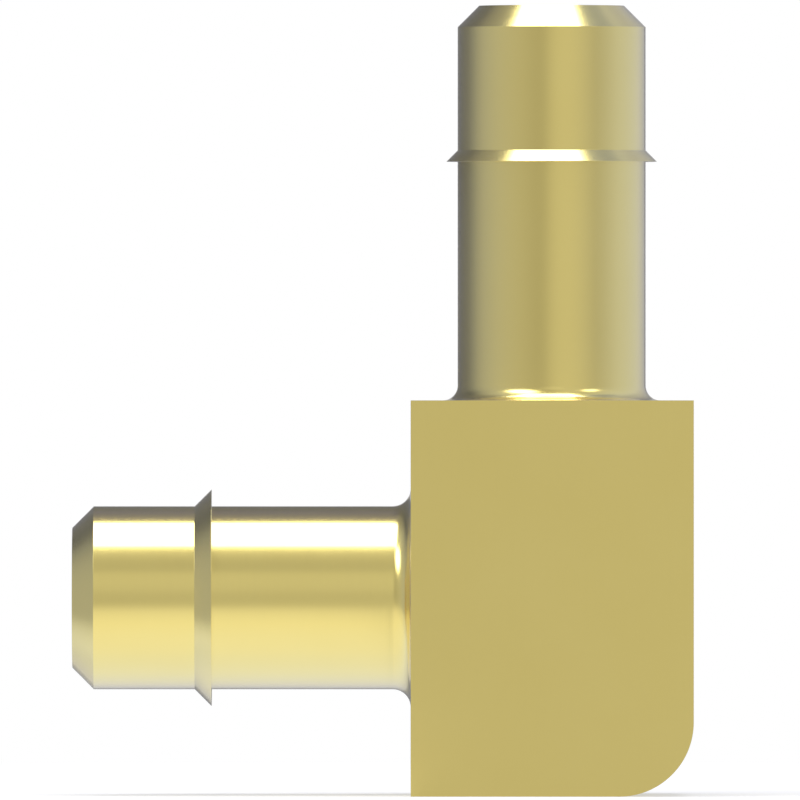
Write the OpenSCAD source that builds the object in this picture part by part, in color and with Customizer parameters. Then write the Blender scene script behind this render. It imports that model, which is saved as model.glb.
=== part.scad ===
// Hose barb elbow: a right-angle hose fitting cut and drilled from one piece of brass bar.
// The origin is on the block's base, under the axis of the top spigot, and +Z runs up it.
// The side spigot points along -X. All sizes are in millimetres.

/* [Block] */
// Width of the block, in line with the side spigot
block_w = 10; // [8.5:0.5:16]
// Depth of the block, from front to back
block_d = 10; // [8.5:0.5:16]
// Height of the block
block_h = 14; // [12:0.5:24]
// Radius of the block's one rounded corner, under the end away from the side spigot
corner_r = 2.63; // [0.5:0.01:4]

/* [Top spigot] */
// Length of the top spigot, from the block to its tip
top_len = 14; // [9:0.5:24]
// Diameter of the top spigot's stem
top_stem_d = 6.67; // [6.3:0.01:8.5]
// Height of the top barb above its stem
top_barb_rise = 0.4; // [0.2:0.05:0.8]
// Distance from the top spigot's tip back to the square shoulder of its barb
top_shoulder = 5.53; // [2.5:0.01:8]
// Radius of the fillet at the top spigot's root
top_root_r = 0.53; // [0.2:0.01:1.2]
// Diameter of the bore down the top spigot
top_bore_d = 4.4; // [3:0.1:4.8]

/* [Side spigot] */
// Height of the side spigot's axis above the base
side_axis_h = 7; // [5:0.1:9]
// Length of the side spigot, from the block to its tip
side_len = 12; // [8:0.5:24]
// Diameter of the side spigot's stem
side_stem_d = 6.49; // [6.2:0.01:8.5]
// Height of the side barb above its stem
side_barb_rise = 0.6; // [0.2:0.05:0.8]
// Distance from the side spigot's tip back to the square shoulder of its barb
side_shoulder = 4.94; // [2.5:0.01:6.5]
// Radius of the fillet at the side spigot's root
side_root_r = 0.64; // [0.2:0.01:1.2]
// Diameter of the bore along the side spigot
side_bore_d = 4.2; // [3:0.1:4.6]

/* [Ends and drilling] */
// Angle between a barb's sloping face and its spigot's axis
barb_angle = 45; // [30:1:60]
// Width of the 45 degree chamfer round each spigot's tip
nose_chamfer = 0.76; // [0.2:0.01:0.8]
// Width of the 45 degree break round each bore's mouth
mouth_break = 0.12; // [0.05:0.01:0.15]
// How far each bore keeps its full diameter past the other bore's axis
bore_overrun = 1.2; // [0.6:0.1:2]
// Full angle of the drill's point
drill_angle = 118; // [90:1:140]

/* [Hidden] */
$fn = 128;
// The spigots reach this far into the block, so that the two are one solid
root_sink = 0.5;
// Cutters start this far outside the metal
clear = 1;

// One length of square bar with a rounded corner, drawn from the front and given its depth
module block() {
    translate([0, block_d / 2, 0])
        rotate([90, 0, 0])
            linear_extrude(height = block_d)
                difference() {
                    translate([-block_w / 2, 0]) square([block_w, block_h]);
                    translate([block_w / 2 - corner_r, 0]) outer_corner();
                }
}

// What the rounding takes off the corner at [corner_r, 0]
module outer_corner() {
    difference() {
        translate([0, -clear]) square([corner_r + clear, corner_r + clear]);
        translate([0, corner_r]) circle(r = corner_r);
    }
}

// Half of a spigot's section, with its axis on Y and the block's face at y = 0
module spigot_section(len, stem_r, barb_rise, shoulder, root_r) {
    shoulder_y = len - shoulder;
    ramp = barb_rise / tan(barb_angle);
    difference() {
        polygon([
            [0, -root_sink],
            [stem_r + root_r, -root_sink],
            [stem_r + root_r, root_r],
            [stem_r, root_r],
            [stem_r, shoulder_y],
            [stem_r + barb_rise, shoulder_y],
            [stem_r, shoulder_y + ramp],
            [stem_r, len - nose_chamfer],
            [stem_r - nose_chamfer, len],
            [0, len]
        ]);
        translate([stem_r + root_r, root_r]) circle(r = root_r);
    }
}

// The top spigot, standing on the block
module top_spigot() {
    translate([0, 0, block_h])
        rotate_extrude()
            spigot_section(top_len, top_stem_d / 2, top_barb_rise, top_shoulder, top_root_r);
}

// The side spigot, standing out of the block's left face
module side_spigot() {
    translate([-block_w / 2, 0, side_axis_h])
        rotate([0, -90, 0])
            rotate_extrude()
                spigot_section(side_len, side_stem_d / 2, side_barb_rise, side_shoulder, side_root_r);
}

// Half the section of a drilled hole: its mouth at y = 0, and its depth measured down
module drill_section(bore_r, depth) {
    point = bore_r / tan(drill_angle / 2);
    polygon([
        [0, clear],
        [bore_r + mouth_break + clear, clear],
        [bore_r, -mouth_break],
        [bore_r, -depth],
        [0, -depth - point]
    ]);
}

// The bore down the top spigot, which stops below the side bore's axis
module top_bore() {
    translate([0, 0, block_h + top_len])
        rotate_extrude()
            drill_section(top_bore_d / 2, top_len + block_h - side_axis_h + bore_overrun);
}

// The bore along the side spigot, which stops just past the top bore's axis
module side_bore() {
    translate([-block_w / 2 - side_len, 0, side_axis_h])
        rotate([0, -90, 0])
            rotate_extrude()
                drill_section(side_bore_d / 2, side_len + block_w / 2 + bore_overrun);
}

// The finished elbow, in one piece
module elbow_body() {
    color([0.78, 0.68, 0.36])
        difference() {
            union() {
                block();
                top_spigot();
                side_spigot();
            }
            top_bore();
            side_bore();
        }
}

elbow_body();
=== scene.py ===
"""A brass hose barb elbow on a pale floor, seen level and square on from the front.

The elbow is one piece of brass with no joints: a block cut from square bar, a barbed spigot up from its
top, another out from its left side, and the two drilled bores that join them. Its mesh is built by
Geometry Nodes as it would be made, from turned sections, a length of bar and two drills.

Sizes are written in millimetres and turned into metres where the nodes take them.
"""

import logging
import math
from dataclasses import dataclass, field
from enum import Enum

import bpy
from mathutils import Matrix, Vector


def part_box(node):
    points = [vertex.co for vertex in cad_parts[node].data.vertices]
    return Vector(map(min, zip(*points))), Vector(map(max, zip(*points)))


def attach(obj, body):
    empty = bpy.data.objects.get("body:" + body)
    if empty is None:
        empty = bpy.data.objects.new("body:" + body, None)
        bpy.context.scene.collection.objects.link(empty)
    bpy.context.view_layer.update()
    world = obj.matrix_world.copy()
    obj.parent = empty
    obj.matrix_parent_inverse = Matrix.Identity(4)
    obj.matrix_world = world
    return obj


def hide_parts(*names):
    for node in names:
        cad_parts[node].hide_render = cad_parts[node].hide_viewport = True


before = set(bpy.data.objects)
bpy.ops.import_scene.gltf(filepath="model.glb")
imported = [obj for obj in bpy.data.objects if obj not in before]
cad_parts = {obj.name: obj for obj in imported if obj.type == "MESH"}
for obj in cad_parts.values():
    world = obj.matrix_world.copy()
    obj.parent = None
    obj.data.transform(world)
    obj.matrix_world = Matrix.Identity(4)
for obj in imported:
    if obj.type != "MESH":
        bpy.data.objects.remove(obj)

MM = 0.001
NODE = "elbow_body"
WHITE = (1.0, 1.0, 1.0, 1.0)
BLACK = (0.0, 0.0, 0.0, 1.0)

# How many flat strips a turned surface has round it.
TURNING_STEPS = 192
# Points nearer than this, in millimetres, are one point.
WELD = 0.0005
# How much more green and blue than red a fully cool grey has, as shares.
COOL_GREEN = 0.05
COOL_BLUE = 0.3
# The Mix node's sockets for its two colours and for what it gives.
MIX_FIRST, MIX_SECOND, MIX_RESULT = 6, 7, 2

log = logging.getLogger("hose_barb_elbow")


class Number:
    """A number that nodes work out. Arithmetic on it adds the nodes that do the sum."""

    def __init__(self, tree: "Tree", socket: bpy.types.NodeSocket) -> None:
        """Keep the tree and the socket that carries the number."""
        self.tree = tree
        self.socket = socket

    def __add__(self, other: "Number | float") -> "Number":
        """Add a number."""
        return self.tree.math("ADD", self, other)

    def __sub__(self, other: "Number | float") -> "Number":
        """Take a number away."""
        return self.tree.math("SUBTRACT", self, other)

    def __mul__(self, other: "Number | float") -> "Number":
        """Multiply by a number."""
        return self.tree.math("MULTIPLY", self, other)

    def __truediv__(self, other: "Number | float") -> "Number":
        """Divide by a number."""
        return self.tree.math("DIVIDE", self, other)

    def __neg__(self) -> "Number":
        """Change the sign."""
        return self.tree.math("MULTIPLY", self, -1.0)

    def __gt__(self, other: "Number | float") -> "Number":
        """Give 1 where this is the larger, and otherwise 0."""
        return self.tree.math("GREATER_THAN", self, other)

    def __lt__(self, other: "Number | float") -> "Number":
        """Give 1 where this is the smaller, and otherwise 0."""
        return self.tree.math("LESS_THAN", self, other)


Feed = Number | bpy.types.NodeSocket | float | int | bool | tuple | bpy.types.Material


class Tree:
    """Adds nodes to a shader or geometry tree."""

    def __init__(self, tree: bpy.types.NodeTree) -> None:
        """Keep the tree that the nodes go into."""
        self.tree = tree

    def feed(self, socket: bpy.types.NodeSocket, value: Feed) -> None:
        """Link a socket to what another node gives, or set its value.

        Args:
            socket: The input to feed.
            value: A number, another node's output, or a plain value.
        """
        source = value.socket if isinstance(value, Number) else value
        if isinstance(source, bpy.types.NodeSocket):
            self.tree.links.new(source, socket)
        else:
            socket.default_value = source

    def node(
        self, kind: str, feeds: dict[int | str, Feed] | None = None, **settings: object
    ) -> bpy.types.Node:
        """Add a node.

        Args:
            kind: The node's type.
            feeds: What goes into its inputs, by their name or place.
            settings: The node's own properties.

        Returns:
            The new node.
        """
        made = self.tree.nodes.new(kind)
        for name, value in settings.items():
            setattr(made, name, value)
        for key, value in (feeds or {}).items():
            self.feed(made.inputs[key], value)
        return made

    def math(self, operation: str, first: Feed, second: Feed = 0.0) -> Number:
        """Add a sum of one or two numbers.

        Args:
            operation: The Math node's operation.
            first: The first number.
            second: The second number, for an operation that takes two.

        Returns:
            The result.
        """
        made = self.node("ShaderNodeMath", {0: first, 1: second}, operation=operation)
        return Number(self, made.outputs[0])

    def smooth(self, value: Number, low: float, high: float) -> Number:
        """Rise smoothly from 0 to 1 as a number goes from low to high.

        Args:
            value: The number.
            low: Where the rise starts.
            high: Where it ends, which may be below low for a fall.

        Returns:
            A number from 0 to 1.
        """
        feeds = {"Value": value, "From Min": low, "From Max": high}
        made = self.node("ShaderNodeMapRange", feeds, interpolation_type="SMOOTHSTEP")
        return Number(self, made.outputs[0])

    def mix(self, share: Feed, first: Feed, second: Feed) -> bpy.types.NodeSocket:
        """Mix two colours.

        Args:
            share: How much of the second colour there is, from 0 to 1.
            first: The first colour.
            second: The second colour.

        Returns:
            The mixed colour.
        """
        made = self.node("ShaderNodeMix", {"Factor": share}, data_type="RGBA")
        self.feed(made.inputs[MIX_FIRST], first)
        self.feed(made.inputs[MIX_SECOND], second)
        return made.outputs[MIX_RESULT]

    def ramp(
        self, value: Number, low: float, high: float, stops: tuple["Stop", ...]
    ) -> bpy.types.NodeSocket:
        """Give the grey that a row of stops has at a number.

        Args:
            value: The number.
            low: The least that the number can be.
            high: The most.
            stops: The stops, in rising order.

        Returns:
            The grey, as a colour.
        """
        made = self.node("ShaderNodeValToRGB", {0: (value - low) / (high - low)})
        elements = made.color_ramp.elements
        while len(elements) < len(stops):
            elements.new(0.5)
        for element, stop in zip(elements, stops):
            element.position = (stop.place - low) / (high - low)
            element.color = stop.colour()
        return made.outputs[0]

    def parts(self, vector: bpy.types.NodeSocket) -> tuple[Number, Number, Number]:
        """Split a vector into its three numbers."""
        made = self.node("ShaderNodeSeparateXYZ", {0: vector})
        return tuple(Number(self, output) for output in made.outputs)

    def vector(self, x: Feed, y: Feed, z: Feed) -> bpy.types.NodeSocket:
        """Join three numbers into a vector."""
        return self.node("ShaderNodeCombineXYZ", {0: x, 1: y, 2: z}).outputs[0]


class ShapeTree(Tree):
    """A Geometry Nodes tree with named inputs for its sizes."""

    def __init__(self, name: str) -> None:
        """Make an empty tree that gives one geometry.

        Args:
            name: The tree's name.
        """
        group = bpy.data.node_groups.new(name, "GeometryNodeTree")
        super().__init__(group)
        group.interface.new_socket("Geometry", in_out="INPUT", socket_type="NodeSocketGeometry")
        group.interface.new_socket("Geometry", in_out="OUTPUT", socket_type="NodeSocketGeometry")
        self.inputs = self.node("NodeGroupInput")
        self.sizes: dict[str, tuple[str, float]] = {}

    def size(self, name: str, millimetres: float) -> Number:
        """Add a named length to the tree's inputs.

        Args:
            name: The input's name.
            millimetres: Its size.

        Returns:
            The length, in metres.
        """
        socket = self.tree.interface.new_socket(name, in_out="INPUT", socket_type="NodeSocketFloat")
        self.sizes[name] = (socket.identifier, millimetres * MM)
        return Number(self, self.inputs.outputs[name])

    def shape(
        self, kind: str, feeds: dict[int | str, Feed] | None = None, **settings: object
    ) -> bpy.types.NodeSocket:
        """Add a node and return the geometry that it gives first."""
        return self.node(kind, feeds, **settings).outputs[0]

    def pick(self, kind: str, choices: list[Feed]) -> bpy.types.NodeSocket:
        """Give each point the choice that its own index counts to.

        Args:
            kind: The type of data that is picked.
            choices: One value for each point.

        Returns:
            The value picked.
        """
        switch = self.node("GeometryNodeIndexSwitch", data_type=kind)
        while len(switch.index_switch_items) < len(choices):
            switch.index_switch_items.new()
        self.feed(switch.inputs[0], self.node("GeometryNodeInputIndex").outputs[0])
        for place, choice in enumerate(choices, start=1):
            self.feed(switch.inputs[place], choice)
        return switch.outputs[0]

    def outline(self, corners: list["Corner"], closed: bool) -> bpy.types.NodeSocket:
        """Draw a line through corners and round each one.

        Args:
            corners: The corners, in order.
            closed: Whether the line goes back to its start.

        Returns:
            The rounded line, in the XY plane, as a curve.
        """
        line = self.shape("GeometryNodeMeshLine", {"Count": len(corners)})
        places = self.pick("VECTOR", [self.vector(c.x, c.y, 0.0) for c in corners])
        line = self.shape("GeometryNodeSetPosition", {"Geometry": line, "Position": places})
        line = self.shape("GeometryNodeMeshToCurve", {0: line})
        line = self.shape("GeometryNodeSetSplineCyclic", {0: line, "Cyclic": closed})
        radii = self.pick("FLOAT", [c.radius for c in corners])
        steps = self.pick("INT", [c.steps for c in corners])
        feeds = {0: line, "Radius": radii, "Limit Radius": True, "Count": steps}
        return self.shape("GeometryNodeFilletCurve", feeds, mode="POLY")

    def whole(self, chosen: Number) -> bpy.types.NodeSocket:
        """Choose a face only where all its points are chosen.

        Args:
            chosen: 1 at each point that is chosen.

        Returns:
            Whether the face is chosen.
        """
        points = self.node("GeometryNodeFieldOnDomain", domain="POINT", data_type="BOOLEAN")
        self.feed(points.inputs[0], chosen)
        return points.outputs[0]

    def revolve(
        self, section: bpy.types.NodeSocket, turn: "Turn", axis: Number | None = None
    ) -> bpy.types.NodeSocket:
        """Spin a half section about its Y axis into a closed solid.

        Args:
            section: The half section, a curve from the axis out and back to the axis.
            turn: How the solid lies in the elbow.
            axis: How high the axis of a solid on its side is.

        Returns:
            The solid's mesh.
        """
        profile = self.shape("GeometryNodeCurveToMesh", {0: section})
        count = self.node("GeometryNodeAttributeDomainSize", {0: profile}).outputs["Point Count"]
        feeds = {"Size X": 1.0, "Size Y": 1.0, "Vertices X": count, "Vertices Y": TURNING_STEPS + 1}
        # The grid goes from -0.5 to 0.5, along the section one way and round the axis the other.
        grid = self.shape("GeometryNodeMeshGrid", feeds)
        across, around, _ = self.parts(self.node("GeometryNodeInputPosition").outputs[0])
        index = (across + 0.5) * (Number(self, count) - 1.0)
        sample = self.node("GeometryNodeSampleIndex", {0: profile}, data_type="FLOAT_VECTOR")
        self.feed(sample.inputs["Value"], self.node("GeometryNodeInputPosition").outputs[0])
        self.feed(sample.inputs["Index"], self.math("ROUND", index))
        radius, height, _ = self.parts(sample.outputs[0])
        angle = (around + 0.5) * math.tau
        side, front = radius * self.math("COSINE", angle), radius * self.math("SINE", angle)
        if turn is Turn.UP:
            place = self.vector(side, front, height)
        else:
            place = self.vector(-height, front, side + axis)
        solid = self.shape("GeometryNodeSetPosition", {"Geometry": grid, "Position": place})
        solid = self.shape("GeometryNodeFlipFaces", {0: solid})
        return self.shape("GeometryNodeMergeByDistance", {"Geometry": solid, "Distance": WELD * MM})

    def finish(self, shape: bpy.types.NodeSocket) -> None:
        """Give a geometry out of the tree."""
        self.node("NodeGroupOutput", {0: shape})


class Turn(Enum):
    """Which way a turned solid's axis points."""

    UP = "up"
    SIDE = "side"


@dataclass
class Corner:
    """A corner of an outline, with the radius that rounds it."""

    x: Feed
    y: Feed
    radius: Feed = 0.0
    steps: int = 4


@dataclass
class Spigot:
    """One barbed spigot, turned about its axis. Lengths are in millimetres."""

    name: str
    length: float
    stem_d: float
    barb_rise: float
    barb_shoulder: float
    root_r: float
    bore_d: float
    turn: Turn
    nose_chamfer: float = 0.76
    crest_r: float = 0.004
    edge_r: float = 0.008
    sink: float = 0.5
    root_steps: int = 14

    def section(self, tree: ShapeTree, face: Number) -> bpy.types.NodeSocket:
        """Draw the half section, from the axis inside the block to the axis at the tip.

        Args:
            tree: The tree to draw it in.
            face: How far the block's face is from where the heights are counted.

        Returns:
            The section, with its radius along X and its height along Y.
        """
        label = self.name
        stem = tree.size(f"{label} stem radius", self.stem_d / 2)
        rise = tree.size(f"{label} barb rise", self.barb_rise)
        root = tree.size(f"{label} root radius", self.root_r)
        chamfer = tree.size(f"{label} nose chamfer", self.nose_chamfer)
        tip = face + tree.size(f"{label} length", self.length)
        shoulder = tip - tree.size(f"{label} barb shoulder", self.barb_shoulder)
        edge, crest = self.edge_r * MM, self.crest_r * MM
        foot = face - self.sink * MM
        corners = [
            Corner(0.0, foot),
            Corner(stem + root, foot),
            Corner(stem + root, face),
            Corner(stem, face, root, self.root_steps),
            Corner(stem, shoulder, edge),
            Corner(stem + rise, shoulder, crest),
            Corner(stem, shoulder + rise, edge),
            Corner(stem, tip - chamfer, edge),
            Corner(stem - chamfer, tip, edge),
            Corner(0.0, tip),
        ]
        return tree.outline(corners, closed=False)

    def drill(self, tree: ShapeTree, face: Number, drill: "Drill") -> bpy.types.NodeSocket:
        """Draw the half section of the drill that makes this spigot's bore.

        Args:
            tree: The tree to draw it in.
            face: How far the block's face is from the other bore's axis.
            drill: The drill's own sizes.

        Returns:
            The section, with its radius along X and its height along Y.
        """
        label = self.name
        bore = tree.size(f"{label} bore radius", self.bore_d / 2)
        end = tree.size(f"{label} bore end", drill.end_height(self.turn))
        mouth = face + self.length * MM
        point = bore * (1 / math.tan(math.radians(drill.angle / 2)))
        lift = drill.clear * MM
        flare = bore + (drill.mouth_break + drill.clear) * MM
        corners = [
            Corner(0.0, end - point),
            Corner(bore, end),
            Corner(bore, mouth - drill.mouth_break * MM, self.edge_r * MM),
            Corner(flare, mouth + lift),
            Corner(0.0, mouth + lift),
        ]
        return tree.outline(corners, closed=False)


@dataclass
class Drill:
    """The drill for both bores. Lengths are in millimetres, and the angle is its point's, in degrees."""

    side_axis_h: float = 7.0
    overrun: float = 1.2
    mouth_break: float = 0.12
    angle: float = 118.0
    clear: float = 1.0

    def end_height(self, turn: Turn) -> float:
        """Give where the full diameter ends, counted from the base up or from the top bore's axis out."""
        return self.side_axis_h - self.overrun if turn is Turn.UP else -self.overrun


@dataclass
class Block:
    """The block, a length of square bar with one rounded corner. Lengths are in millimetres."""

    width: float
    depth: float
    height: float
    corner_r: float = 2.63
    edge_r: float = 0.012
    edge_steps: int = 2
    corner_steps: int = 40

    def solid(self, tree: ShapeTree, half_width: Number, height: Number) -> bpy.types.NodeSocket:
        """Draw the front and give it its depth.

        Args:
            tree: The tree to draw it in.
            half_width: Half the block's width.
            height: The block's height.

        Returns:
            The block's mesh.
        """
        corner = tree.size("Corner radius", self.corner_r)
        half_depth = tree.size("Half depth", self.depth / 2)
        corners = [
            Corner(-half_width, 0.0),
            Corner(half_width, 0.0, corner, self.corner_steps),
            Corner(half_width, height),
            Corner(-half_width, height),
        ]
        front = tree.shape("GeometryNodeFillCurve", {0: tree.outline(corners, closed=True)}, mode="NGONS")
        feeds = {"Mesh": front, "Offset Scale": half_depth * 2.0, "Individual": False}
        walls = tree.shape("GeometryNodeExtrudeMesh", feeds, mode="FACES")
        under = tree.shape("GeometryNodeFlipFaces", {0: front})
        joined = tree.node("GeometryNodeJoinGeometry")
        tree.feed(joined.inputs[0], walls)
        tree.feed(joined.inputs[0], under)
        across, up, depth = tree.parts(tree.node("GeometryNodeInputPosition").outputs[0])
        feeds = {"Geometry": joined.outputs[0], "Position": tree.vector(across, half_depth - depth, up)}
        solid = tree.shape("GeometryNodeSetPosition", feeds)
        return tree.shape("GeometryNodeMergeByDistance", {"Geometry": solid, "Distance": WELD * MM})


class Grain(Enum):
    """Which way the fine lines of a surface run, as how many a millimetre has along X, Y and Z."""

    DRAWN = (6.0, 6.0, 0.2)
    ROUND_TOP = (0.1, 0.1, 7.0)
    ROUND_SIDE = (7.0, 0.1, 0.1)


@dataclass(frozen=True)
class BrassFinish:
    """Bright brass, with fine tool lines and a little variation in its tone and polish."""

    name: str
    grain: Grain
    roughness: float = 0.2
    line_roughness: float = 0.05
    haze_roughness: float = 0.02
    line_depth: float = 0.002
    haze_size: float = 4.0
    line_detail: float = 3.0
    haze_detail: float = 2.0
    noise_roughness: float = 0.6
    pale: tuple[float, float, float, float] = (0.901, 0.744, 0.24, 1.0)
    deep: tuple[float, float, float, float] = (0.872, 0.71, 0.2135, 1.0)
    coat: float = 1.0
    coat_roughness: float = 0.15
    sheen: float = 0.12
    sheen_roughness: float = 0.5

    def material(self) -> bpy.types.Material:
        """Make the material.

        Returns:
            The material, with its grain and haze laid on Object coordinates.
        """
        made = bpy.data.materials.new(self.name)
        made.use_nodes = True
        made.node_tree.nodes.clear()
        tree = Tree(made.node_tree)
        place = tree.node("ShaderNodeTexCoord").outputs["Object"]
        stretch = tuple(lines / MM for lines in self.grain.value)
        along = tree.node("ShaderNodeMapping", {"Vector": place, "Scale": stretch}).outputs[0]
        lines = self.noise(tree, along, 1.0, self.line_detail)
        haze = self.noise(tree, place, 1 / (self.haze_size * MM), self.haze_detail)
        rough = (lines - 0.5) * self.line_roughness + (haze - 0.5) * self.haze_roughness + self.roughness
        feeds = {"Height": lines, "Distance": self.line_depth * MM, "Strength": 1.0}
        bump = tree.node("ShaderNodeBump", feeds)
        feeds = {
            "Base Color": tree.mix(haze, self.deep, self.pale),
            "Metallic": 1.0,
            "Roughness": rough,
            "Normal": bump.outputs[0],
            "Coat Weight": self.coat,
            "Coat Roughness": self.coat_roughness,
            "Sheen Weight": self.sheen,
            "Sheen Roughness": self.sheen_roughness,
        }
        shader = tree.node("ShaderNodeBsdfPrincipled", feeds)
        tree.node("ShaderNodeOutputMaterial", {"Surface": shader.outputs[0]})
        return made

    def noise(self, tree: Tree, place: bpy.types.NodeSocket, scale: float, detail: float) -> Number:
        """Add a noise that goes from 0 to 1."""
        feeds = {"Vector": place, "Scale": scale, "Detail": detail, "Roughness": self.noise_roughness}
        return Number(tree, tree.node("ShaderNodeTexNoise", feeds).outputs[0])


@dataclass
class Elbow:
    """The whole elbow, one piece of brass."""

    block: Block
    top: Spigot
    side: Spigot
    drill: Drill = field(default_factory=Drill)
    flats: BrassFinish = BrassFinish(
        "brass_flats", Grain.DRAWN, pale=(0.908, 0.742, 0.231, 1.0), deep=(0.879, 0.708, 0.205, 1.0)
    )
    top_turned: BrassFinish = BrassFinish("brass_top_spigot", Grain.ROUND_TOP)
    side_turned: BrassFinish = BrassFinish("brass_side_spigot", Grain.ROUND_SIDE)
    top_drilled: BrassFinish = BrassFinish(
        "brass_top_bore", Grain.ROUND_TOP, roughness=0.28, line_depth=0.004
    )
    side_drilled: BrassFinish = BrassFinish(
        "brass_side_bore", Grain.ROUND_SIDE, roughness=0.28, line_depth=0.004
    )
    sharp_angle: float = 35.0
    flat_normal: float = 0.99999

    def build(self) -> bpy.types.Object:
        """Build the elbow's mesh and dress it.

        Returns:
            The piece, with its place in its mesh.
        """
        tree = ShapeTree("Turned and drilled elbow")
        half_width = tree.size("Half width", self.block.width / 2)
        height = tree.size("Block height", self.block.height)
        axis = tree.size("Side axis height", self.drill.side_axis_h)
        solids = [
            self.block.solid(tree, half_width, height),
            tree.revolve(self.top.section(tree, height), Turn.UP),
            tree.revolve(self.side.section(tree, half_width), Turn.SIDE, axis),
        ]
        drills = [
            tree.revolve(self.top.drill(tree, height, self.drill), Turn.UP),
            tree.revolve(self.side.drill(tree, half_width, self.drill), Turn.SIDE, axis),
        ]
        body = self.combine(tree, "UNION", solids)
        body = self.combine(tree, "DIFFERENCE", drills, body)
        body = tree.shape("GeometryNodeMergeByDistance", {"Geometry": body, "Distance": WELD * MM})
        body = self.smooth(tree, body, half_width, height)
        tree.finish(self.dress(tree, body, half_width, height, axis))
        return self.as_piece(tree)

    def combine(
        self,
        tree: ShapeTree,
        operation: str,
        shapes: list[bpy.types.NodeSocket],
        first: bpy.types.NodeSocket | None = None,
    ) -> bpy.types.NodeSocket:
        """Join solids, or cut them out of a first one.

        Args:
            tree: The tree.
            operation: The boolean's operation.
            shapes: The solids to join or to cut out.
            first: The solid that is cut.

        Returns:
            The result.
        """
        made = tree.node("GeometryNodeMeshBoolean", operation=operation, solver="MANIFOLD")
        if first is not None:
            tree.feed(made.inputs[0], first)
        for shape in shapes:
            tree.feed(made.inputs[1], shape)
        return made.outputs[0]

    def smooth(
        self, tree: ShapeTree, body: bpy.types.NodeSocket, half_width: Number, height: Number
    ) -> bpy.types.NodeSocket:
        """Shade the curves smooth, keep the sharp edges, and mark the block's edges for their small round.

        Args:
            tree: The tree.
            body: The elbow's mesh.
            half_width: Half the block's width.
            height: The block's height.

        Returns:
            The mesh with its edges marked.
        """
        angle = Number(tree, tree.node("GeometryNodeInputMeshEdgeAngle").outputs[0])
        sharp = angle > math.radians(self.sharp_angle)
        body = tree.shape("GeometryNodeSetShadeSmooth", {"Geometry": body, "Shade Smooth": True})
        feeds = {"Geometry": body, "Selection": sharp, "Shade Smooth": False}
        body = tree.shape("GeometryNodeSetShadeSmooth", feeds, domain="EDGE")
        across, depth, up = tree.parts(tree.node("GeometryNodeInputPosition").outputs[0])
        near = WELD * MM
        inside = tree.math("ABSOLUTE", across) < half_width - near
        inside = inside * (tree.math("ABSOLUTE", depth) < self.block.depth / 2 * MM - near)
        inside = inside * (up > near) * (up < height - near)
        on_spigot = tree.math("MAXIMUM", up > height + near, across < -half_width - near)
        marked = sharp * (inside < 0.5) * (on_spigot < 0.5)
        feeds = {"Geometry": body, "Selection": marked, "Name": "bevel_weight_edge", "Value": 1.0}
        return tree.shape("GeometryNodeStoreNamedAttribute", feeds, data_type="FLOAT", domain="EDGE")

    def dress(
        self,
        tree: ShapeTree,
        body: bpy.types.NodeSocket,
        half_width: Number,
        height: Number,
        axis: Number,
    ) -> bpy.types.NodeSocket:
        """Give the flats, the spigots and the bores their own grain.

        Args:
            tree: The tree.
            body: The elbow's mesh.
            half_width: Half the block's width.
            height: The block's height.
            axis: How high the side spigot's axis is.

        Returns:
            The mesh with its materials.
        """
        across, depth, up = tree.parts(tree.node("GeometryNodeInputPosition").outputs[0])
        rise = up - axis
        off = WELD * MM
        from_top = tree.math("SQRT", across * across + depth * depth)
        from_side = tree.math("SQRT", rise * rise + depth * depth)
        in_top = from_top < (self.top.bore_d / 2 + self.drill.mouth_break) * MM + off
        in_side = from_side < (self.side.bore_d / 2 + self.drill.mouth_break) * MM + off
        body = tree.shape("GeometryNodeRealizeInstances", {0: body})
        for finish, where in (
            (self.flats, True),
            (self.top_turned, up > height + off),
            (self.side_turned, across < -half_width - off),
            (self.side_drilled, tree.whole(in_side)),
            (self.top_drilled, tree.whole(in_top)),
        ):
            feeds = {"Geometry": body, "Selection": where, "Material": finish.material()}
            body = tree.shape("GeometryNodeSetMaterial", feeds)
        return body

    def as_piece(self, tree: ShapeTree) -> bpy.types.Object:
        """Run the tree on an empty mesh, round the marked edges and keep the result as a plain mesh.

        Args:
            tree: The finished tree.

        Returns:
            The piece.
        """
        piece = bpy.data.objects.new("brass_elbow", bpy.data.meshes.new("brass_elbow"))
        bpy.context.scene.collection.objects.link(piece)
        nodes = piece.modifiers.new("shape", "NODES")
        nodes.node_group = tree.tree
        for identifier, metres in tree.sizes.values():
            nodes[identifier] = metres
        bevel = piece.modifiers.new("edges", "BEVEL")
        bevel.limit_method = "WEIGHT"
        bevel.width = self.block.edge_r * MM
        bevel.segments = self.block.edge_steps
        bevel.use_clamp_overlap = False
        graph = bpy.context.evaluated_depsgraph_get()
        mesh = bpy.data.meshes.new_from_object(
            piece.evaluated_get(graph), preserve_all_data_layers=True, depsgraph=graph
        )
        piece.modifiers.clear()
        piece.data = mesh
        mesh.name = "brass_elbow"
        self.drop_empty_slots(mesh)
        self.shade(mesh)
        return piece

    def shade(self, mesh: bpy.types.Mesh) -> None:
        """Shade each flat as one plane, and let the small rounded edges run into the larger faces by them.

        Args:
            mesh: The elbow's mesh.
        """
        around: list[list[Vector]] = [[] for _ in mesh.vertices]
        for face in mesh.polygons:
            weighted = face.normal * (face.area / MM**2)
            for vertex in face.vertices:
                around[vertex].append(weighted)
        normals = [Vector() for _ in mesh.loops]
        limit = math.radians(self.sharp_angle)
        for face in mesh.polygons:
            flat = max(abs(part) for part in face.normal) > self.flat_normal
            for corner, vertex in zip(face.loop_indices, face.vertices):
                if flat:
                    normals[corner] = Vector(round(part) for part in face.normal)
                    continue
                near = (other for other in around[vertex] if other.angle(face.normal, math.pi) < limit)
                normals[corner] = sum(near, Vector()).normalized()
        mesh.normals_split_custom_set(normals)

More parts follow.
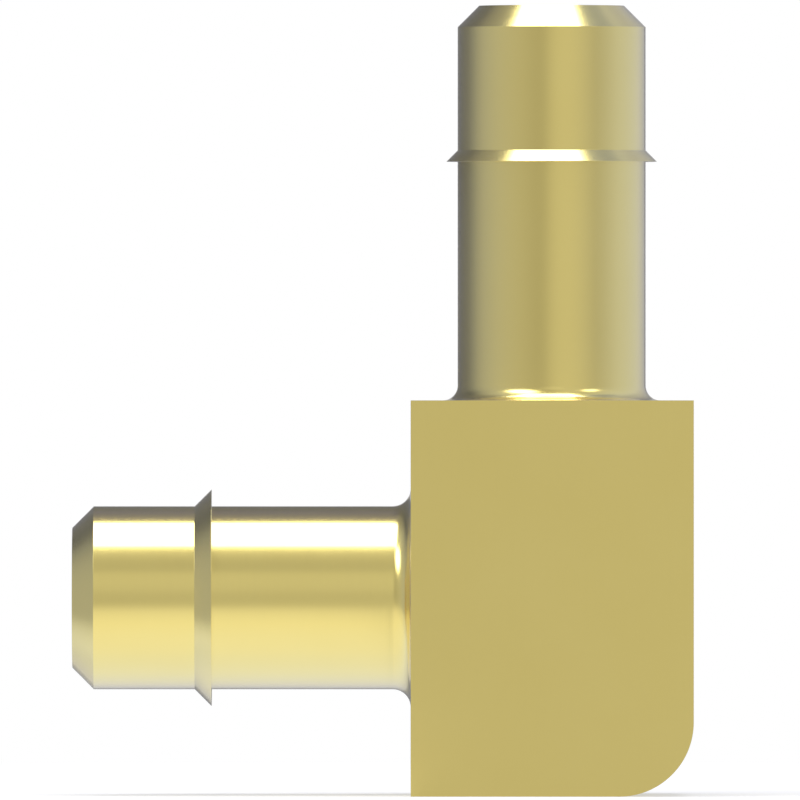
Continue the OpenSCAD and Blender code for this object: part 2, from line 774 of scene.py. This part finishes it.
    def drop_empty_slots(self, mesh: bpy.types.Mesh) -> None:
        """Take out the slots with no material that the nodes leave.

        Args:
            mesh: The elbow's mesh.
        """
        used = [face.material_index for face in mesh.polygons]
        kept = [place for place, material in enumerate(mesh.materials) if material]
        finishes = [mesh.materials[place] for place in kept]
        mesh.materials.clear()
        for finish in finishes:
            mesh.materials.append(finish)
        for face, place in zip(mesh.polygons, used):
            face.material_index = kept.index(place)


@dataclass(frozen=True)
class Stop:
    """A grey at a place along a ramp, from neutral at 0 to cool at 1."""

    place: float
    level: float
    cool: float = 0.0

    def colour(self) -> tuple[float, float, float, float]:
        """Give the grey as a colour."""
        green, blue = 1 + COOL_GREEN * self.cool, 1 + COOL_BLUE * self.cool
        return (self.level, self.level * green, self.level * blue, 1.0)


@dataclass(frozen=True)
class Rise:
    """A smooth change along the floor, from 0 where it starts to 1 where it ends, in millimetres."""

    start: float
    end: float

    def over(self, tree: Tree, place: Number) -> Number:
        """Give how far the change has gone at a place."""
        return tree.smooth(place, self.start * MM, self.end * MM)


@dataclass(frozen=True)
class Panel:
    """A round soft panel that the brass mirrors, or a dark one below 0. Angles are in degrees."""

    azimuth: float
    elevation: float
    reach: tuple[float, float]
    level: float
    blue: float = 0.0

    def aim(self) -> Vector:
        """Give the direction from the object to the panel, with azimuth 0 towards the camera."""
        turn, rise = math.radians(self.azimuth), math.radians(self.elevation)
        return Vector((math.sin(turn) * math.cos(rise), -math.cos(turn) * math.cos(rise), math.sin(rise)))

    def add(
        self, tree: Tree, direction: bpy.types.NodeSocket, light: bpy.types.NodeSocket
    ) -> bpy.types.NodeSocket:
        """Add the panel's light to what is there.

        Args:
            tree: The tree to work in.
            direction: The direction, as a vector of length 1.
            light: The light so far.

        Returns:
            The light with the panel's.
        """
        feeds = {0: direction, 1: tuple(self.aim())}
        dot = tree.node("ShaderNodeVectorMath", feeds, operation="DOT_PRODUCT")
        near = Number(tree, dot.outputs["Value"])
        full, gone = (math.cos(math.radians(angle)) for angle in self.reach)
        share = tree.smooth(near, gone, full)
        colour = (self.level, self.level, self.level + self.blue)
        feeds = {0: tree.vector(share, share, share), 1: colour, 2: light}
        return tree.node("ShaderNodeVectorMath", feeds, operation="MULTIPLY_ADD").outputs[0]


@dataclass
class Studio:
    """The floor, the soft light and the camera. Lengths are in millimetres and light levels are plain.

    The walls are greys by compass direction, in degrees with 0 towards the camera. The pool is painted
    light and shade on the floor beside the block, greys from front to back that the floor glows with,
    which the side spigot mirrors from below. Walls, pool and panels show in the brass only, and never to
    the camera.
    """

    floor_size: float = 3000.0
    footprint: float = 10.0
    floor_colour: tuple[float, float, float, float] = (0.82, 0.82, 0.82, 1.0)
    # A painted grey that the floor right behind the block glows with for mirrored rays, in place of its own
    # light and shade there.
    painted_back_tone: tuple[float, float, float, float] = (0.55, 0.57, 0.64, 1.0)
    back_near: Rise = Rise(8.0, 1.0)
    clear_floor: Rise = Rise(60.0, 110.0)
    shadow_fade: float = 0.5
    walls: tuple[Stop, ...] = (
        Stop(-180, 0.13, 0.4),
        Stop(-166, 0.12, 0.6),
        Stop(-148, 0.12, 1.0),
        Stop(-126, 0.17, 1.6),
        Stop(-112, 0.275, 1.9),
        Stop(-100, 0.39, 1.5),
        Stop(-89, 0.46, 1.4),
        Stop(-70, 0.525, 0.9),
        Stop(-53, 0.54, 0.5),
        Stop(-37, 0.53, 0.2),
        Stop(-15, 0.475),
        Stop(-8, 0.505),
        Stop(0, 0.605),
        Stop(8, 0.66),
        Stop(22, 0.665),
        Stop(32, 0.64, 0.1),
        Stop(45, 0.575, 0.3),
        Stop(55, 0.51, 0.4),
        Stop(70, 0.555, 0.9),
        Stop(89, 0.63, 1.4),
        Stop(112, 0.645, 1.7),
        Stop(130, 0.64, 1.6),
        Stop(146, 0.51, 1.1),
        Stop(158, 0.42, 0.8),
        Stop(166, 0.33, 0.6),
        Stop(180, 0.13, 0.4),
    )
    # Painted light and shade on the floor beside the block: the greys it glows with for mirrored rays, bright
    # beside it and darker behind.
    painted_light_pool: tuple[Stop, ...] = (
        Stop(-60, 0.60),
        Stop(-38, 0.71),
        Stop(-23, 0.93),
        Stop(-12, 1.04),
        Stop(-5, 1.02, 0.6),
        Stop(-2.7, 0.97, 1.2),
        Stop(-0.4, 0.94, 1.7),
        Stop(1.1, 0.89, 1.9),
        Stop(4, 0.77, 1.5),
        Stop(7, 0.63, 1.1),
        Stop(9.5, 0.61, 0.9),
        Stop(11.5, 0.33, 0.7),
        Stop(18, 0.25, 0.6),
        Stop(60, 0.2, 0.6),
    )
    pool_reach: float = 60.0
    pool_start: Rise = Rise(-4.6, -5.8)
    pool_end: Rise = Rise(-46.0, -19.0)
    # Painted shade on the floor under the barb's slope and painted light behind the nose, as the side spigot
    # mirrors them.
    shade_near: Rise = Rise(-17.0, -20.5)
    shade_far: Rise = Rise(-26.0, -22.0)
    shade_front: Rise = Rise(6.0, 2.0)
    shade_share: float = 0.11
    painted_light_across: Rise = Rise(-17.5, -20.5)
    painted_light_back: Rise = Rise(5.0, 9.0)
    painted_light_share: float = 0.17
    panels: tuple[Panel, ...] = (
        Panel(-45, 45, (10, 19), 4.0),
        Panel(54, 35, (4, 12), 2.2),
        Panel(0, 21, (6, 18), 0.08),
        Panel(0, 43, (3, 15), -0.09),
        Panel(118, 62, (5, 18), -0.3),
        Panel(-122, 58, (4, 30), 0.12),
        Panel(-131, 31, (3, 14), -0.045),
        Panel(138, 42, (4, 16), -0.07),
        Panel(180, 56, (6, 26), 0.02, 0.12),
        Panel(168, -4, (4, 13), -0.17),
        Panel(180, 0, (5, 12), 0.5),
    )
    lamp_level: float = 5.0
    lamp_height: float = 500.0
    lamp_width: float = 340.0
    lamp_depth: float = 371.0
    lamp_left: float = -24.0
    lamp_back: float = -10.5
    lens: float = 1500.0
    sensor: float = 36.0
    frame_width: float = 28.319
    look_x: float = -5.379
    look_y: float = -2.5
    look_z: float = 14.014
    clip: tuple[float, float] = (0.5, 3.0)

    def build(self) -> None:
        """Make the floor, the world, the lamp and the camera."""
        self.floor()
        self.world()
        self.lamp()
        self.camera()

    def wall(self, tree: Tree, right: Number, back: Number) -> bpy.types.NodeSocket:
        """Give the grey of the walls by the compass direction.

        Args:
            tree: The tree to work in.
            right: How far to the right.
            back: How far to the back.

        Returns:
            The colour of the wall there.
        """
        turn = tree.math("ARCTAN2", right, -back) * (180 / math.pi)
        return tree.ramp(turn, -180, 180, self.walls)

    def outside(self, tree: Tree, place: Number) -> Number:
        """Give how far a place on the floor is outside the block's footprint, with its sign."""
        half = self.footprint / 2 * MM
        return place - tree.math("MINIMUM", tree.math("MAXIMUM", place, -half), half)

    def painted_pool_tone(self, tree: Tree, across: Number, depth: Number) -> bpy.types.NodeSocket:
        """Give the painted light and shade that the floor beside the block glows with, which the side spigot
        mirrors from below.

        Args:
            tree: The tree to work in.
            across: How far to the right the place is.
            depth: How far to the back it is.

        Returns:
            The grey, with painted shade under the barb's slope and painted light behind the nose.
        """
        # Painted shade under the barb's slope, then painted light behind the nose.
        shade = self.shade_near.over(tree, across) * self.shade_far.over(tree, across)
        shade = shade * self.shade_front.over(tree, depth)
        lift = self.painted_light_across.over(tree, across) * self.painted_light_back.over(tree, depth)
        tone = tree.ramp(depth / MM, -self.pool_reach, self.pool_reach, self.painted_light_pool)
        tone = tree.mix(shade * self.shade_share, tone, BLACK)
        return tree.mix(lift * self.painted_light_share, tone, WHITE)

    def painted_mirrored_tone(self, tree: Tree, across: Number, depth: Number) -> bpy.types.NodeSocket:
        """Give the grey that the floor glows with for mirrored rays, and the brass mirrors, at a place on the
        floor.

        Args:
            tree: The tree to work in.
            across: How far to the right the place is.
            depth: How far to the back it is.

        Returns:
            The grey of the wall beyond, the painted grey of the floor right behind the block, or the painted
            light and shade of the floor beside it.
        """
        beside, beyond = self.outside(tree, across), self.outside(tree, depth)
        wall = self.wall(tree, beside, beyond)
        gap = tree.math("SQRT", beside * beside + beyond * beyond)
        behind = tree.smooth(depth, 0.0, self.footprint / 2 * MM) * self.back_near.over(tree, gap)
        # Where the floor glows with the painted pool of light and shade beside the block.
        painted_pool_share = self.pool_start.over(tree, across) * self.pool_end.over(tree, across)
        painted_light_pool = self.painted_pool_tone(tree, across, depth)
        return tree.mix(painted_pool_share, tree.mix(behind, wall, self.painted_back_tone), painted_light_pool)

    def floor_paint(self) -> bpy.types.Material:
        """Make the floor's paint, white to the camera apart from the object's shadow, and glowing with
        painted greys to mirrored rays.

        Returns:
            The material.
        """
        paint = bpy.data.materials.new("pale_floor")
        paint.use_nodes = True
        paint.node_tree.nodes.clear()
        tree = Tree(paint.node_tree)
        across, depth, _ = tree.parts(tree.node("ShaderNodeTexCoord").outputs["Object"])
        away = tree.math("SQRT", across * across + depth * depth)
        ray = tree.node("ShaderNodeLightPath").outputs
        seen, mirrored = Number(tree, ray["Is Camera Ray"]), Number(tree, ray["Is Glossy Ray"])
        through = Number(tree, ray["Is Transmission Ray"])
        # To mirrored rays the floor glows with painted greys instead of its own light and shade.
        tone = tree.mix(mirrored, WHITE, self.painted_mirrored_tone(tree, across, depth))
        glow = tree.node("ShaderNodeEmission", {"Color": tone})
        matt = tree.node("ShaderNodeBsdfDiffuse", {"Color": self.floor_colour})
        plain = self.clear_floor.over(tree, away) * (1 - self.shadow_fade) + self.shadow_fade
        share = tree.math("MINIMUM", seen * plain + mirrored + through, 1.0)
        mixed = tree.node("ShaderNodeMixShader", {0: share, 1: matt.outputs[0], 2: glow.outputs[0]})
        tree.node("ShaderNodeOutputMaterial", {"Surface": mixed.outputs[0]})
        return paint

    def floor(self) -> None:
        """Lay the pale floor."""
        half = self.floor_size / 2 * MM
        mesh = bpy.data.meshes.new("floor")
        corners = [(-half, -half, 0), (half, -half, 0), (half, half, 0), (-half, half, 0)]
        mesh.from_pydata(corners, [], [(0, 1, 2, 3)])
        mesh.materials.append(self.floor_paint())
        floor = bpy.data.objects.new("floor", mesh)
        bpy.context.scene.collection.objects.link(floor)

    def world(self) -> None:
        """Set white behind the object, and round it the grey walls and soft panels that the brass mirrors."""
        world = bpy.data.worlds.new("studio")
        world.use_nodes = True
        world.node_tree.nodes.clear()
        bpy.context.scene.world = world
        tree = Tree(world.node_tree)
        direction = tree.node("ShaderNodeTexCoord").outputs["Generated"]
        right, back, _ = tree.parts(direction)
        lit = self.wall(tree, right, back)
        for panel in self.panels:
            lit = panel.add(tree, direction, lit)
        ray = tree.node("ShaderNodeLightPath").outputs
        plain = tree.math("MAXIMUM", ray["Is Camera Ray"], ray["Is Transmission Ray"])
        sky = tree.node("ShaderNodeBackground", {"Color": tree.mix(plain, lit, WHITE), "Strength": 1.0})
        tree.node("ShaderNodeOutputWorld", {"Surface": sky.outputs[0]})

    def lamp(self) -> None:
        """Hang the soft lamp overhead."""
        light = bpy.data.lights.new("overhead", "AREA")
        light.shape = "RECTANGLE"
        light.size, light.size_y = self.lamp_width * MM, self.lamp_depth * MM
        light.energy = self.lamp_level * math.pi * light.size * light.size_y
        lamp = bpy.data.objects.new("overhead", light)
        lamp.location = Vector((self.lamp_left, self.lamp_back, self.lamp_height)) * MM
        bpy.context.scene.collection.objects.link(lamp)

    def camera(self) -> None:
        """Look level along +Y through a long lens, with the photograph's framing."""
        lens = bpy.data.cameras.new("camera")
        lens.lens, lens.sensor_width = self.lens, self.sensor
        away = self.frame_width * self.lens / self.sensor
        lens.clip_start, lens.clip_end = (away * share * MM for share in self.clip)
        camera = bpy.data.objects.new("camera", lens)
        camera.location = Vector((self.look_x, self.look_y - away, self.look_z)) * MM
        camera.rotation_euler = (math.radians(90), 0, 0)
        bpy.context.scene.collection.objects.link(camera)
        bpy.context.scene.camera = camera


def main() -> None:
    """Build the elbow and its studio from the part's sizes, and log how many faces the elbow has."""
    logging.basicConfig(level=logging.INFO, format="%(name)s: %(message)s")
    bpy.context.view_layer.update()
    low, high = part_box(NODE)
    block_height, block_width, block_depth = 14.0, 10.0, (high.y - low.y) / MM
    top = Spigot(
        name="Top",
        length=high.z / MM - block_height,
        stem_d=6.67,
        barb_rise=0.4,
        barb_shoulder=5.53,
        root_r=0.53,
        bore_d=4.4,
        turn=Turn.UP,
    )
    side = Spigot(
        name="Side",
        length=-low.x / MM - block_width / 2,
        stem_d=6.49,
        barb_rise=0.6,
        barb_shoulder=4.94,
        root_r=0.64,
        bore_d=4.2,
        turn=Turn.SIDE,
    )
    elbow = Elbow(Block(block_width, block_depth, block_height), top, side)
    piece = elbow.build()
    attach(piece, "root")
    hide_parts(NODE)
    log.info("%s: %d faces", piece.name, len(piece.data.polygons))
    Studio().build()
    scene = bpy.context.scene
    scene.view_settings.view_transform = "Standard"


if __name__ == "__main__":
    main()
